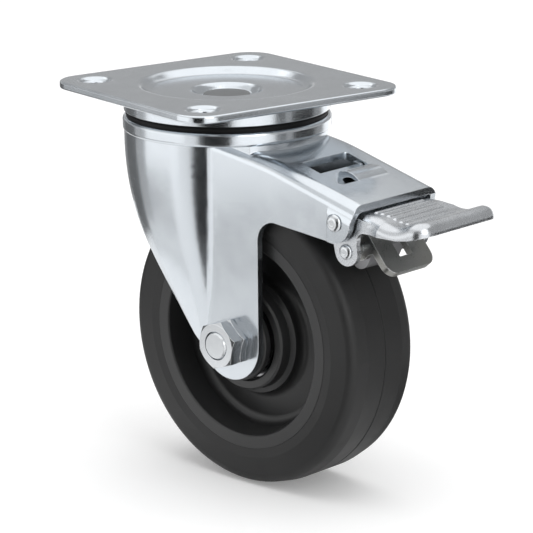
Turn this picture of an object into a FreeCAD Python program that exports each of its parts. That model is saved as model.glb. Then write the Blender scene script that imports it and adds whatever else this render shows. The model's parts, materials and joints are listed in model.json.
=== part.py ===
import FreeCAD, Part
import math
import os

os.makedirs("parts", exist_ok=True)

V = FreeCAD.Vector

# Frame: millimetres, origin on the swivel axis at the plate's top face.
# +X points from the swivel axis to the pedal, Y lies along the wheel axle, +Z is up.

# Clearances and fits
RUN_FIT = 0.05
BOLT_FIT = 0.05
FACE_GAP = 0.35

# Driving sizes
WHEEL_R = 62.5
TRAIL = 24.0
HEAD_DROP = 39.0
AXLE_Z = -HEAD_DROP - WHEEL_R
SHEET = 3.0
REACH = 60.0

# Top plate
PLATE_SIZE = 106.6
PLATE_T = 3.2
PLATE_CORNER_R = 12.0
PLATE_YAW = -11.0
HOLE_EDGE = 14.05
HOLE_SPACING = PLATE_SIZE - 2 * HOLE_EDGE
HOLE_R = 4.5
HOLE_RIM_R = 7.6
HOLE_RIM_DEPTH = 2.0
DISH_R = 37.5
DISH_FLOOR_R = 31.8
DISH_DEPTH = 2.8
WELL_R = 15.5
WELL_FLOOR_R = 11.6
WELL_DEPTH = 6.6

# Swivel head
BALL_R = 4.0
GROOVE_R = BALL_R + RUN_FIT
GROOVE_DEPTH = 0.6
CROWN_Z = -12.6
UPPER_RACE_R = 37.0
LOWER_RACE_R = 22.0
UPPER_BALLS = 14
LOWER_BALLS = 12
UPPER_BALL_Z = CROWN_Z - GROOVE_DEPTH + GROOVE_R
LOWER_BALL_Z = CROWN_Z - SHEET + GROOVE_DEPTH - GROOVE_R
CAGE_IN = 5.2
CAGE_OUT = 2.5
CUP_R = 42.9
CUP_EDGE_Z = -10.0
CUP_T = 1.6
CROWN_HOLE_R = 17.5
HAT_R = 15.5
BRIM_R = 25.4
KINGPIN_R = 6.0
KINGPIN_HEAD_R = 9.9
KINGPIN_HEAD_T = 2.2
KINGPIN_END_Z = -25.0

# Fork
DRUM_R = 43.7
BAND_R = 43.4
BAND_Z = -18.5
UNDERCUT_R = 41.0
SHELF_Z = -22.3
SHELF_SLOPE = 0.16
CHEEK_Y = 25.3
SLOPE_X = 47.0
SLOPE = 0.27
BEND_R = 5.0
END_BEND_R = 8.0
REAR_JOIN_X = 53.0
UNDERCUT_SHIFT = 8.5
CROWN_EXTRA = 0.6
CROWN_SPLIT = 0.3
NECK_STEP = 1.5
FLARE = 0.6
FLARE_X = 78.0
NOSE_X = 90.5
LEG_END_R = 16.0
LEG_REAR_X = TRAIL + LEG_END_R
ARCH_R = 9.0
ARCH_DROP = 5.4
SKIRT_Z = -28.0
WINDOW_X = (53.4, 75.0)
WINDOW_Y = 13.6

# Wheel
TYRE_HALF = 19.5
TYRE_T = 16.0
RIM_R = WHEEL_R - TYRE_T
RIM_HALF = 19.6
RIM_LIP_T = 5.5
RIM_LIP_R = RIM_R - RIM_LIP_T
WEB_HALF = 5.5
HUB_R = 22.0
HUB_HALF = 18.0
BEARING_R = 17.5
BEARING_W = 11.0
BEARING_OUT = 14.5
BEARING_BORE_R = 7.5
BEARING_PITCH_R = 12.5
BEARING_BALL_R = 3.0
BEARING_BALLS = 8
SLEEVE_R = BEARING_BORE_R
AXLE_R = 6.0
NUT_AF = 18.0
NUT_H = 5.6
JAM_NUT_H = 2.9
NUT_TURN = 12.0

# Brake
PIVOT = (82.0, -42.0)
PIVOT_R = 2.5
PIVOT_EYE_R = 8.4
PIVOT_HEAD_R = 3.6
KNEE = (84.7, -54.0)
KNEE_R = 2.2
KNEE_HEAD_R = 3.1
PEDAL_T = 2.5
PEDAL_Y = 24.0
EAR_Y = 22.0
PEDAL_TIP_X = 125.6
PEDAL_TRAVEL = 18.0
SHOE_NOSE_R = 4.4
SHOE_GAP = 0.4
SHOE_HALF = 9.6
SHOE_HUB_R = 3.9
LEVER_T = 3.0
LEVER_Y = 14.0
LEVER_TOP = (88.2, -46.6)
LEVER_END = (101.2, -62.2)
LEVER_SLOT = 7.6
SLOT_MARGIN = (3.5, 6.4)
LEAF_T = 1.5
LEAF_HALF = 13.0
TONGUE_T = 1.8
TONGUE_Y = (-3.2, WINDOW_Y + 1.0)
RIB_COUNT = 6
RIB_X = 93.5
RIB_PITCH = 3.2
RIB_R = 1.3
RIB_Y = 14.0
RIB_SINK = 0.8


def point(plane, a, b):
    if plane == "xy":
        return V(a, b, 0)
    return V(a, 0, b)


def outline(plane, start, *steps):
    """Closed wire; a step is an end point, or (mid, end) for a round stretch."""
    edges = []
    here = start
    for step in steps:
        if isinstance(step[0], tuple):
            mid, end = step
            a, b, c = (point(plane, *p) for p in (here, mid, end))
            edges.append(Part.Arc(a, b, c).toShape())
        else:
            end = step
            edges.append(Part.makeLine(point(plane, *here), point(plane, *end)))
        here = end
    if math.dist(here, start) > 1e-6:
        edges.append(Part.makeLine(point(plane, *here), point(plane, *start)))
    return Part.Wire(edges)


def turned(wire):
    """Revolve an xz outline about the Z axis."""
    return Part.Face(wire).revolve(V(0, 0, 0), V(0, 0, 1), 360)


def along_y(wire, y0, y1):
    """Extrude an xz outline from y0 to y1."""
    face = Part.Face(wire)
    face.translate(V(0, y0, 0))
    return face.extrude(V(0, y1 - y0, 0))


def along_z(wire, z0, z1):
    """Extrude an xy outline from z0 to z1."""
    face = Part.Face(wire)
    face.translate(V(0, 0, z0))
    return face.extrude(V(0, 0, z1 - z0))


def rod(r, y0, y1, x=TRAIL, z=AXLE_Z):
    """Cylinder along Y."""
    return Part.makeCylinder(r, y1 - y0, V(x, y0, z), V(0, 1, 0))


def cross_hole(r, x=TRAIL, z=AXLE_Z):
    """Cutter along Y that runs past both sides of the part."""
    return rod(r, -REACH, REACH, x, z)


def inside_block(half):
    """Cutter that clears the space between two ears or lugs."""
    return Part.makeBox(3 * REACH, 2 * half, 2 * REACH, V(0, -half, -2 * REACH))


def on_axle(wire):
    """Revolve an outline given as (radius, y) about the wheel axle."""
    solid = Part.Face(wire).revolve(V(0, 0, 0), V(0, 0, 1), 360)
    solid.rotate(V(0, 0, 0), V(1, 0, 0), -90)
    solid.translate(V(TRAIL, 0, AXLE_Z))
    return solid


def around(angle, radius, z=0.0):
    a = math.radians(angle)
    return V(radius * math.cos(a), radius * math.sin(a), z)


def hexagon(af, y0, y1, bore):
    """Hexagonal nut along Y with chamfered corners and a plain bore."""
    corner = af / math.sqrt(3)
    points = [around(60 * i + 30, corner) for i in range(7)]
    body = Part.Face(Part.makePolygon(points)).extrude(V(0, 0, y1 - y0))
    height = y1 - y0
    bevel = (corner - af / 2) * 0.6
    lens = turned(outline(
        "xz", (0, 0), (af / 2, 0), (corner, bevel), (corner, height - bevel),
        (af / 2, height), (0, height),
    ))
    body = body.common(lens).cut(Part.makeCylinder(bore, height))
    body.rotate(V(0, 0, 0), V(1, 0, 0), -90)
    body.translate(V(0, y0, 0))
    return body


def save(name, shape):
    shape = shape.removeSplitter()
    shape.exportStep("parts/%s.step" % name)


def yawed(shape):
    shape.rotate(V(0, 0, 0), V(0, 0, 1), PLATE_YAW)
    return shape


def s_slope(r0, z0, r1, z1):
    """Smooth drawn step between two flat levels, as a curve from (r0, z0) to (r1, z1)."""
    mid = (r0 + r1) / 2
    curve = Part.BezierCurve()
    curve.setPoles([V(r0, 0, z0), V(mid, 0, z0), V(mid, 0, z1), V(r1, 0, z1)])
    return curve.toShape()


def drawn_centre(outer):
    """The plate's round middle, drawn down in two steps from one sheet."""
    edges = []
    for drop in (0.0, -PLATE_T):
        edges.append(Part.makeLine(V(outer, 0, drop), V(DISH_R, 0, drop)))
        edges.append(s_slope(DISH_R, drop, DISH_FLOOR_R, drop - DISH_DEPTH))
        low = drop - DISH_DEPTH
        edges.append(Part.makeLine(V(DISH_FLOOR_R, 0, low), V(WELL_R, 0, low)))
        edges.append(s_slope(WELL_R, low, WELL_FLOOR_R, drop - WELL_DEPTH))
        floor = drop - WELL_DEPTH
        bore = KINGPIN_R + BOLT_FIT
        edges.append(Part.makeLine(V(WELL_FLOOR_R, 0, floor), V(bore, 0, floor)))
    edges.append(Part.makeLine(V(outer, 0, 0), V(outer, 0, -PLATE_T)))
    bore = KINGPIN_R + BOLT_FIT
    edges.append(Part.makeLine(V(bore, 0, -WELL_DEPTH), V(bore, 0, -WELL_DEPTH - PLATE_T)))
    return turned(Part.Wire(Part.__sortEdges__(edges)))


def bolt_hole():
    """Through hole with its rim pressed down into a round-edged funnel."""
    return turned(outline(
        "xz", (0, 1), (HOLE_RIM_R + 0.5, 1), (HOLE_RIM_R + 0.5, 0),
        ((HOLE_RIM_R - 0.9, -0.35), (HOLE_R + 1.2, -HOLE_RIM_DEPTH * 0.75)),
        (HOLE_R, -HOLE_RIM_DEPTH), (HOLE_R, -PLATE_T - 1), (0, -PLATE_T - 1),
    ))


def top_plate():
    half = PLATE_SIZE / 2
    blank = Part.makeBox(PLATE_SIZE, PLATE_SIZE, PLATE_T, V(-half, -half, -PLATE_T))
    uprights = [e for e in blank.Edges if abs(e.tangentAt(e.FirstParameter).z) > 0.9]
    blank = blank.makeFillet(PLATE_CORNER_R, uprights)
    rims = [e for e in blank.Edges if abs(e.BoundBox.ZLength) < 0.01]
    blank = blank.makeFillet(0.9, rims)
    joint_r = DISH_R + 3
    blank = blank.cut(Part.makeCylinder(joint_r, 20, V(0, 0, -10)))
    plate = blank.fuse(drawn_centre(joint_r))
    for sx in (-1, 1):
        for sy in (-1, 1):
            hole = bolt_hole()
            hole.translate(V(sx * HOLE_SPACING / 2, sy * HOLE_SPACING / 2, 0))
            plate = plate.cut(hole)
    return yawed(plate)


def race_groove(radius, z):
    """Ring-shaped cutter that leaves a ball race."""
    return Part.makeTorus(radius, GROOVE_R, V(0, 0, z))


def upper_race():
    """Pressed cup under the plate: ball race inside, deep skirt outside."""
    top = -PLATE_T
    inner = UPPER_RACE_R - 2.2
    body = turned(outline(
        "xz", (inner, top - 2.0), (UPPER_RACE_R - 0.4, top - 0.4), (UPPER_RACE_R + 1, top),
        (CUP_R - 2.5, top), ((CUP_R - 0.73, top - 0.73), (CUP_R, top - 2.5)),
        (CUP_R, CUP_EDGE_Z), (CUP_R - CUP_T, CUP_EDGE_Z), (CUP_R - CUP_T, UPPER_BALL_Z),
        (inner, UPPER_BALL_Z),
    ))
    return body.cut(race_groove(UPPER_RACE_R, UPPER_BALL_Z)).cut(
        Part.makeCylinder(UPPER_RACE_R + 2.0, 3.0, V(0, 0, UPPER_BALL_Z - 0.5)))


def ball_ring(count, radius, z):
    balls = [Part.makeSphere(BALL_R, around(360 * i / count, radius, z)) for i in range(count)]
    return Part.makeCompound(balls)


def ball_cage(count, radius, z):
    """Flat retainer ring with one pocket a ball, the pockets open outwards."""
    half_t = 0.7
    ring = Part.makeCylinder(radius + CAGE_OUT, 2 * half_t, V(0, 0, z - half_t))
    ring = ring.cut(Part.makeCylinder(radius - CAGE_IN, 2 * half_t, V(0, 0, z - half_t)))
    for i in range(count):
        spot = around(360 * i / count, radius, z - half_t - 1)
        ring = ring.cut(Part.makeCylinder(BALL_R + 0.12, 2 * half_t + 2, spot))
    return ring


def dust_seal():
    inner = CUP_R - CUP_T
    height = CUP_EDGE_Z - FACE_GAP - CROWN_Z
    return turned(outline(
        "xz", (inner, CROWN_Z), (BAND_R - 1.5, CROWN_Z), (BAND_R - 1.2, CROWN_Z + height * 0.6),
        (BAND_R - 1.8, CROWN_Z + height), (inner, CROWN_Z + height),
    ))


def lower_race():
    """Pressed hat that the kingpin clamps to the plate; its brim carries the lower balls."""
    top = -WELL_DEPTH - PLATE_T
    brim_top = LOWER_BALL_Z - GROOVE_R + GROOVE_DEPTH
    low = brim_top - SHEET
    body = turned(outline(
        "xz", (KINGPIN_R + BOLT_FIT, top), (HAT_R - 2.5, top),
        ((HAT_R - 0.73, top - 0.73), (HAT_R, top - 2.5)),
        (HAT_R, brim_top), (BRIM_R, brim_top), (BRIM_R, low),
        (HAT_R - SHEET + 1.5, low), (HAT_R - SHEET, low + 1.5),
        (HAT_R - SHEET, top - SHEET), (KINGPIN_R + BOLT_FIT, top - SHEET),
    ))
    return body.cut(race_groove(LOWER_RACE_R, LOWER_BALL_Z))


def kingpin():
    seat = -WELL_DEPTH
    return turned(outline(
        "xz", (0, seat + KINGPIN_HEAD_T), (KINGPIN_HEAD_R - 0.8, seat + KINGPIN_HEAD_T),
        ((KINGPIN_HEAD_R - 0.23, seat + KINGPIN_HEAD_T - 0.23),
         (KINGPIN_HEAD_R, seat + KINGPIN_HEAD_T - 0.8)),
        (KINGPIN_HEAD_R, seat), (KINGPIN_R, seat), (KINGPIN_R, KINGPIN_END_Z + 0.8),
        (KINGPIN_R - 0.8, KINGPIN_END_Z), (0, KINGPIN_END_Z),
    ))


def kingpin_nut():
    top = -WELL_DEPTH - PLATE_T - SHEET
    height = 9.0
    nut = hexagon(NUT_AF, 0, height, KINGPIN_R + BOLT_FIT)
    nut.rotate(V(0, 0, 0), V(1, 0, 0), -90)
    nut.translate(V(0, 0, top))
    return nut


# The wing of the fork bulges out under the crown and fades into the leg beside the nut.
# Share of the way from the band down to the axle, then as shares of the crown's radius:
# the bulge's radius, its rise above the cheek, the hollow blend and the x where it ends.
WINGS = (
    (-0.035, 0.8696, 0.2151, 0.1991, 0.4050),
    (0.066, 0.8696, 0.2151, 0.1991, 0.4050),
    (0.187, 0.8558, 0.2128, 0.1991, 0.4050),
    (0.319, 0.8238, 0.2037, 0.1991, 0.4050),
    (0.464, 0.7666, 0.1831, 0.1991, 0.4027),
    (0.608, 0.6865, 0.1442, 0.1945, 0.3936),
    (0.741, 0.5721, 0.0984, 0.1831, 0.3707),
    (0.861, 0.4348, 0.0549, 0.1602, 0.3249),
    (0.970, 0.2975, 0.0229, 0.1373, 0.2838),
    (1.054, 0.1831, 0.0046, 0.1144, 0.2654),
)


def down_leg(share):
    """Height at a share of the way from the crown's band to the axle."""
    return BAND_Z + share * (AXLE_Z - BAND_Z)


def fork_section(row, inset):
    """Plan of the fork at one height, drawn on the sheet's outside or inset to its inside."""
    z = down_leg(row[0])
    radius, rise, blend, fx = (DRUM_R * share for share in row[1:])
    reach = radius + blend
    cx = fx - math.sqrt(reach ** 2 - (reach - rise) ** 2)
    cy = CHEEK_Y - radius + rise
    blend = blend + inset
    side = CHEEK_Y - inset
    rho = radius - inset
    across = side + blend - cy
    k = rho / reach
    touch = (cx + (fx - cx) * k, cy + across * k)
    end_a = math.atan2(touch[1] - cy, touch[0] - cx)
    front_y = max(CROWN_SPLIT, cy)
    front = cx - math.sqrt(rho ** 2 - (front_y - cy) ** 2)
    start_a = math.atan2(front_y - cy, front - cx) % (2 * math.pi)
    mid_a = (start_a + end_a) / 2
    bulge_mid = (cx + rho * math.cos(mid_a), cy + rho * math.sin(mid_a))
    low_a = (math.atan2(touch[1] - side - blend, touch[0] - fx) - math.pi / 2) / 2
    blend_mid = (fx + blend * math.cos(low_a), side + blend + blend * math.sin(low_a))
    rear = REAR_JOIN_X

    def m(p):
        return (p[0], -p[1])

    wire = outline(
        "xy", (front, front_y), (bulge_mid, touch), (blend_mid, (fx, side)), (rear, side),
        (rear, -side), (fx, -side), (m(blend_mid), m(touch)), (m(bulge_mid), (front, -front_y)),
    )
    wire.translate(V(0, 0, z))
    return wire


def housing_top(x):
    """Height of the fork's upper face behind the crown."""
    if x < SLOPE_X:
        return SHELF_Z + SHELF_SLOPE * (SLOPE_X - x)
    return SHELF_Z - SLOPE * (x - SLOPE_X)


def side_view(x0, x1, drop, low):
    """Side view of all that lies under the shelf and the steeper housing top."""
    run = 5.0
    first = (SLOPE_X - run, housing_top(SLOPE_X - run) - drop)
    last = (SLOPE_X + run, housing_top(SLOPE_X + run) - drop)
    corner = (SLOPE_X, SHELF_Z - drop)
    mid = tuple(0.5 * c + 0.25 * (f + e) for c, f, e in zip(corner, first, last))
    return outline(
        "xz", (x0, low), (x0, housing_top(x0) - drop), first, (mid, last),
        (x1, housing_top(x1) - drop), (x1, low),
    )


def long_top_edges(solid, inset):
    """Edges where the top meets a side wall, all the way along."""
    found = []
    for e in solid.Edges:
        box = e.BoundBox
        middle = e.valueAt((e.FirstParameter + e.LastParameter) / 2)
        level = housing_top(middle.x) - inset
        if abs(middle.y) > 0.8 * CHEEK_Y and box.XLength > 0.5 and abs(middle.z - level) < 0.3:
            found.append(e)
    return found


def shell_volume(inset):
    """Everything inside the sheet's outer face, or inside its inner face when inset."""
    side = CHEEK_Y - inset
    far = NOSE_X + 8
    block = Part.makeBox(far - REAR_JOIN_X, 2 * side, -AXLE_Z, V(REAR_JOIN_X, -side, AXLE_Z))
    wires = [fork_section(row, inset) for row in WINGS]
    round_front = Part.makeCylinder(DRUM_R - inset, 4 * REACH, V(0, 0, -3 * REACH))
    behind = Part.makeBox(4 * REACH, 4 * REACH, 4 * REACH, V(0, -2 * REACH, -3 * REACH))
    wings = Part.makeLoft(wires, True, False).common(round_front.fuse(behind))
    body = wings.fuse(block)
    body = body.common(along_y(side_view(-REACH, far, inset, AXLE_Z - LEG_END_R), -REACH, REACH))
    body = body.makeFillet(BEND_R - inset, long_top_edges(body, inset))
    return body


def flared_end(inset):
    """The end of the housing, widened a little so that the pedal's ears fit inside."""
    side = CHEEK_Y + FLARE - inset
    block = along_y(side_view(SLOPE_X - 20, NOSE_X + 8, inset, AXLE_Z), -side, side)
    block = block.makeFillet(END_BEND_R - inset, long_top_edges(block, inset))
    return block.common(Part.makeBox(REACH, 2 * REACH, 2 * REACH, V(FLARE_X, -REACH, -2 * REACH)))


def drum(inset):
    """Round crown of the fork with its band and, behind, the undercut above the shelf."""
    edge = 1.5
    top = CROWN_Z - inset
    low = SHELF_Z - 1.5
    half = CHEEK_Y - NECK_STEP - inset
    start = 0 if inset else DRUM_R / 2
    height = top - low if inset else BAND_Z + 1 - low
    undercut = UNDERCUT_R + UNDERCUT_SHIFT - (inset + CROWN_EXTRA if inset else 0)
    neck = Part.makeBox(REACH, 2 * half, height, V(start, -half, low))
    neck = neck.common(Part.makeCylinder(undercut, height, V(-UNDERCUT_SHIFT, 0, low)))
    if inset:
        return neck.fuse(Part.makeCylinder(BRIM_R + 0.8, height, V(0, 0, low)))
    band = turned(outline(
        "xz", (0, top), (BAND_R - edge, top), ((BAND_R - 0.29 * edge, top - 0.29 * edge), (BAND_R, top - edge)),
        (BAND_R, BAND_Z + edge), ((BAND_R - 0.29 * edge, BAND_Z + 0.29 * edge), (BAND_R - edge, BAND_Z)),
        (0, BAND_Z),
    ))
    return band.fuse(neck)


def side_mask():
    """Side view of the whole fork: skirt, slanted front edge, leg, arch and rounded end."""
    r = LEG_END_R
    eye = PIVOT_EYE_R
    foot = AXLE_Z
    arch = PIVOT[1] - ARCH_DROP
    far = TRAIL - 3.88 * r

    def edge(back, share):
        return (TRAIL - back * r, down_leg(share))

    def end(dx, dz):
        return (PIVOT[0] + dx * eye, PIVOT[1] + dz * eye)

    return along_y(outline(
        "xz", (far - ARCH_R, 0), (far - ARCH_R, SKIRT_Z), (far, SKIRT_Z),
        (edge(3.06, 0.4518), edge(2.56, 0.6205)), (edge(2.175, 0.7470), edge(1.788, 0.8614)),
        (edge(1.531, 0.9337), edge(1.238, 1.0060)),
        ((TRAIL - r + 0.9, foot - 5.2), (TRAIL - r * 0.8, foot - r * 0.6)),
        ((TRAIL, foot - r), (TRAIL + r, foot)),
        (LEG_REAR_X, arch - ARCH_R),
        ((LEG_REAR_X + 0.3 * ARCH_R, arch - 0.3 * ARCH_R), (LEG_REAR_X + ARCH_R, arch)),
        end(-0.405, -0.976), (end(0.548, -0.762), end(0.905, -0.071)),
        end(1.119, 0.536), (NOSE_X, 0),
    ), -REACH, REACH)


def window():
    x0, x1 = WINDOW_X
    hole = Part.makeBox(x1 - x0, 2 * WINDOW_Y, 40, V(x0, -WINDOW_Y, -45))
    uprights = [e for e in hole.Edges if abs(e.tangentAt(e.FirstParameter).z) > 0.9]
    return hole.makeFillet(1.5, uprights)


def fork():
    body = shell_volume(0).fuse(flared_end(0)).fuse(drum(0))
    hollow = shell_volume(SHEET).fuse(flared_end(SHEET)).fuse(drum(SHEET))
    body = body.cut(hollow)
    foot = down_leg(WINGS[-1][0])
    for y in (-CHEEK_Y, CHEEK_Y - SHEET):
        leg = Part.makeBox(LEG_REAR_X + 1, SHEET, LEG_END_R * 2, V(0, y, foot - LEG_END_R * 2))
        body = body.fuse(leg)
    body = body.common(side_mask())
    body = body.cut(race_groove(UPPER_RACE_R, UPPER_BALL_Z))
    body = body.cut(race_groove(LOWER_RACE_R, LOWER_BALL_Z))
    body = body.cut(Part.makeCylinder(CROWN_HOLE_R, 20, V(0, 0, CROWN_Z - 10)))
    body = body.cut(rod(HUB_R, SHEET - CHEEK_Y, CHEEK_Y - SHEET))
    body = body.cut(cross_hole(AXLE_R + BOLT_FIT))
    body = body.cut(cross_hole(PIVOT_R + RUN_FIT, *PIVOT))
    return body.cut(window()).fuse(barrel_tongue())


def barrel_tongue():
    """Lanced tongue at the window's outer end, humped up and hooked down over the leaf."""
    x1 = WINDOW_X[1]
    t = TONGUE_T

    def at(x, rise):
        return (x, housing_top(x) + rise)

    return along_y(outline(
        "xz", at(x1 + 1.0, 0), at(x1 + 1.0, -t), at(x1 - 0.6, -t + 0.4),
        (at(x1 - 5.2, 0.9 - t), at(x1 - 8.4, -0.9 - t)), at(x1 - 8.6, -SHEET),
        at(x1 - 10.6, -SHEET), (at(x1 - 10.4, -1.0), at(x1 - 8.4, 0.1)),
        (at(x1 - 4.6, 1.2), at(x1 - 0.2, 0.1)),
    ), *TONGUE_Y)


def tyre():
    """Solid rubber band with a flat tread, a moulding line in its middle and round shoulders."""
    r = WHEEL_R
    h = TYRE_HALF
    return on_axle(outline(
        "xz", (RIM_R, -h), (RIM_R + 4, -h - 0.4), (r - 4.6, -h + 0.3),
        ((r - 2.2, -h + 1.5), (r - 0.9, -h + 4.0)), (r, -h + 9.0), (r, -0.5), (r - 0.7, 0),
        (r, 0.5), (r, h - 9.0), (r - 0.9, h - 4.0), ((r - 2.2, h - 1.5), (r - 4.6, h - 0.3)),
        (RIM_R + 4, h + 0.4), (RIM_R, h), (RIM_R, 4.0), (RIM_R - 2.0, 2.5), (RIM_R - 2.0, -2.5),
        (RIM_R, -4.0),
    ))


def wheel_rim():
    """Moulded wheel centre: lip ring, deep dished web and hub with two bearing seats."""
    h = RIM_HALF
    seat = BEARING_OUT - BEARING_W
    bore = BEARING_R - 2.5
    web = WEB_HALF
    half = on_axle(outline(
        "xz", (RIM_R - 2.0, 0), (RIM_R - 2.0, 2.5), (RIM_R, 4.0), (RIM_R, h),
        (RIM_LIP_R + 0.9, h), ((RIM_LIP_R + 0.26, h - 0.26), (RIM_LIP_R, h - 0.9)),
        (RIM_LIP_R - 1.6, web + 3.6), ((RIM_LIP_R - 2.7, web + 0.9), (RIM_LIP_R - 5.4, web)),
        (HUB_R + 5.6, web + 1.2), ((HUB_R + 3.3, web + 2.6), (HUB_R + 2.6, web + 5.2)),
        (HUB_R + 2.5, web + 6.4), (HUB_R + 0.3, web + 7.2), (HUB_R, HUB_HALF - 0.8),
        (HUB_R - 0.8, HUB_HALF), (BEARING_R + 0.8, HUB_HALF), (BEARING_R, HUB_HALF - 0.8),
        (BEARING_R, seat), (bore, seat), (bore, 0),
    ))
    other = half.mirror(V(0, 0, 0), V(0, 1, 0))
    return half.fuse(other)


def bearing_place(side):
    """Inner and outer y of one wheel bearing, nearest the middle first."""
    return side * (BEARING_OUT - BEARING_W), side * BEARING_OUT


def ring_on_axle(r0, r1, y0, y1):
    low, high = min(y0, y1), max(y0, y1)
    return rod(r1, low, high).cut(rod(r0, low, high))


def bearing_race(side, inner):
    """One race ring of a wheel bearing with its ball groove."""
    y0, y1 = bearing_place(side)
    if inner:
        ring = ring_on_axle(BEARING_BORE_R + RUN_FIT, BEARING_BORE_R + 2.7, y0, y1)
    else:
        ring = ring_on_axle(BEARING_R - 2.7, BEARING_R, y0, y1)
    groove = Part.makeTorus(BEARING_PITCH_R, BEARING_BALL_R + RUN_FIT, V(0, 0, 0))
    groove.rotate(V(0, 0, 0), V(1, 0, 0), 90)
    groove.translate(V(TRAIL, (y0 + y1) / 2, AXLE_Z))
    return ring.cut(groove)


def bearing_balls(side):
    y0, y1 = bearing_place(side)
    balls = []
    for i in range(BEARING_BALLS):
        spot = around(360 * i / BEARING_BALLS, BEARING_PITCH_R)
        centre = V(TRAIL + spot.x, (y0 + y1) / 2, AXLE_Z + spot.y)
        balls.append(Part.makeSphere(BEARING_BALL_R, centre))
    return Part.makeCompound(balls)


def bearing_shield(side):
    """Thin cover ring pressed into the outer race's open face."""
    y1 = bearing_place(side)[1]
    return ring_on_axle(BEARING_BORE_R + 3.1, BEARING_R - 2.7, y1 - side * 1.2, y1 - side * 0.4)


def axle_sleeve():
    """Tube that both inner races sit on, clamped between the cheeks."""
    inside = CHEEK_Y - SHEET
    return ring_on_axle(AXLE_R + BOLT_FIT, SLEEVE_R, -inside, inside)


def middle_spacer():
    """Ring between the two inner races."""
    y0 = BEARING_OUT - BEARING_W
    return ring_on_axle(SLEEVE_R + RUN_FIT, SLEEVE_R + 2.2, -y0, y0)


def side_bush(side):
    """Stepped bush from the inner race out to the cheek; its collar covers the hub's mouth."""
    y0 = BEARING_OUT
    y1 = CHEEK_Y - SHEET
    bush = on_axle(outline(
        "xz", (SLEEVE_R + RUN_FIT, y0), (SLEEVE_R + 2.4, y0), (SLEEVE_R + 2.4, HUB_HALF + 0.6),
        (HUB_R - 5.6, HUB_HALF + 0.6), (HUB_R - 5.0, HUB_HALF + 1.2), (HUB_R - 5.0, y1 - 0.6),
        (HUB_R - 5.6, y1), (SLEEVE_R + RUN_FIT, y1),
    ))
    if side < 0:
        bush = bush.mirror(V(0, 0, 0), V(0, 1, 0))
    return bush


def axle_bolt():
    """M12 bolt: hexagon head on the far cheek, plain shank, chamfered end past the nuts."""
    end = -(CHEEK_Y + JAM_NUT_H + NUT_H + 0.5)
    shank = rod(AXLE_R, end + 1.2, CHEEK_Y + 1)
    tip = on_axle(outline("xz", (0, end), (AXLE_R - 0.9, end), (AXLE_R, end + 1.2), (0, end + 1.2)))
    head = hexagon(NUT_AF, CHEEK_Y, CHEEK_Y + 7.5, 0)
    head.translate(V(TRAIL, 0, AXLE_Z))
    return shank.fuse(tip).fuse(head)


def nut(y_inner, height):
    """Nut on the near side; y_inner is its face nearest the cheek."""
    body = hexagon(NUT_AF, y_inner - height, y_inner, AXLE_R + BOLT_FIT)
    body.rotate(V(0, 0, 0), V(0, 1, 0), NUT_TURN)
    body.translate(V(TRAIL, 0, AXLE_Z))
    return body


def rivet(spot, r, head_r, out_y, dome):
    """Pin through both sides with a domed head at each end."""
    rim = out_y + dome * 0.35
    crest = out_y + dome * 0.86
    top = out_y + dome
    flat = head_r * 0.25
    body = turned(outline(
        "xz", (0, -top), (flat, -top), ((head_r * 0.72, -crest), (head_r, -rim)),
        (head_r, -out_y), (r, -out_y), (r, out_y), (head_r, out_y), (head_r, rim),
        ((head_r * 0.72, crest), (flat, top)), (0, top),
    ))
    body.rotate(V(0, 0, 0), V(1, 0, 0), -90)
    body.translate(V(spot[0], 0, spot[1]))
    return body


def capsule(p, rp, q, rq):
    """Outline around two circles with straight tangents between them."""
    d = math.dist(p, q)
    lean = math.acos((rp - rq) / d)
    face = math.atan2(q[1] - p[1], q[0] - p[0])

    def on(c, r, a):
        return (c[0] + r * math.cos(a), c[1] + r * math.sin(a))

    return outline(
        "xz", on(p, rp, face + lean), (on(p, rp, face + math.pi), on(p, rp, face - lean)),
        on(q, rq, face - lean), (on(q, rq, face), on(q, rq, face + lean)),
    )


# The pressed tread from its root under the housing to the raised lip: places along the
# pedal and heights above the pivot, both as shares of the pedal's reach.
TREAD = (
    (0.0459, 0.0550), (0.2294, 0.0826), (0.4128, 0.0780), (0.5963, 0.0413), (0.7339, 0.0596),
    (0.8716, 0.1101), (0.9587, 0.1055), (1.0413, 0.0596),
)


def tread_curve(inset):
    reach = PEDAL_TIP_X - PIVOT[0]
    curve = Part.BSplineCurve()
    curve.interpolate([V(PIVOT[0] + x * reach, 0, PIVOT[1] + z * reach - inset) for x, z in TREAD])
    return curve


def tread_height(x):
    """Height of the tread's upper face at a place along the pedal."""
    curve = tread_curve(0)
    low, high = curve.FirstParameter, curve.LastParameter
    for _ in range(30):
        middle = (low + high) / 2
        if curve.value(middle).x < x:
            low = middle
        else:
            high = middle
    return curve.value(low).z


def pedal_top(inset):
    """Side view of everything under the pressed tread."""
    curve = tread_curve(inset)
    first = curve.value(curve.FirstParameter)
    last = curve.value(curve.LastParameter)
    low = KNEE[1] - PIVOT_EYE_R
    return Part.Wire([
        curve.toShape(),
        Part.makeLine(last, V(last.x, 0, low)),
        Part.makeLine(V(last.x, 0, low), V(first.x, 0, low)),
        Part.makeLine(V(first.x, 0, low), first),
    ])


def pedal_plan(inset):
    """Plan of the pedal: narrow root between the cheeks, wider tread, rounded tip."""
    root = EAR_Y - inset
    y = PEDAL_Y - inset
    tip = PEDAL_TIP_X - inset
    r = 7.0 - inset
    k = r * (1 - math.sqrt(0.5))
    return outline(
        "xy", (80, -root), (94, -root), ((98, -root - 0.4), (102, -y)), (tip - r, -y),
        ((tip - k, -y + k), (tip, -y + r)), (tip, y - r), ((tip - k, y - k), (tip - r, y)),
        (102, y), ((98, root + 0.4), (94, root)), (80, root),
    )


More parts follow.
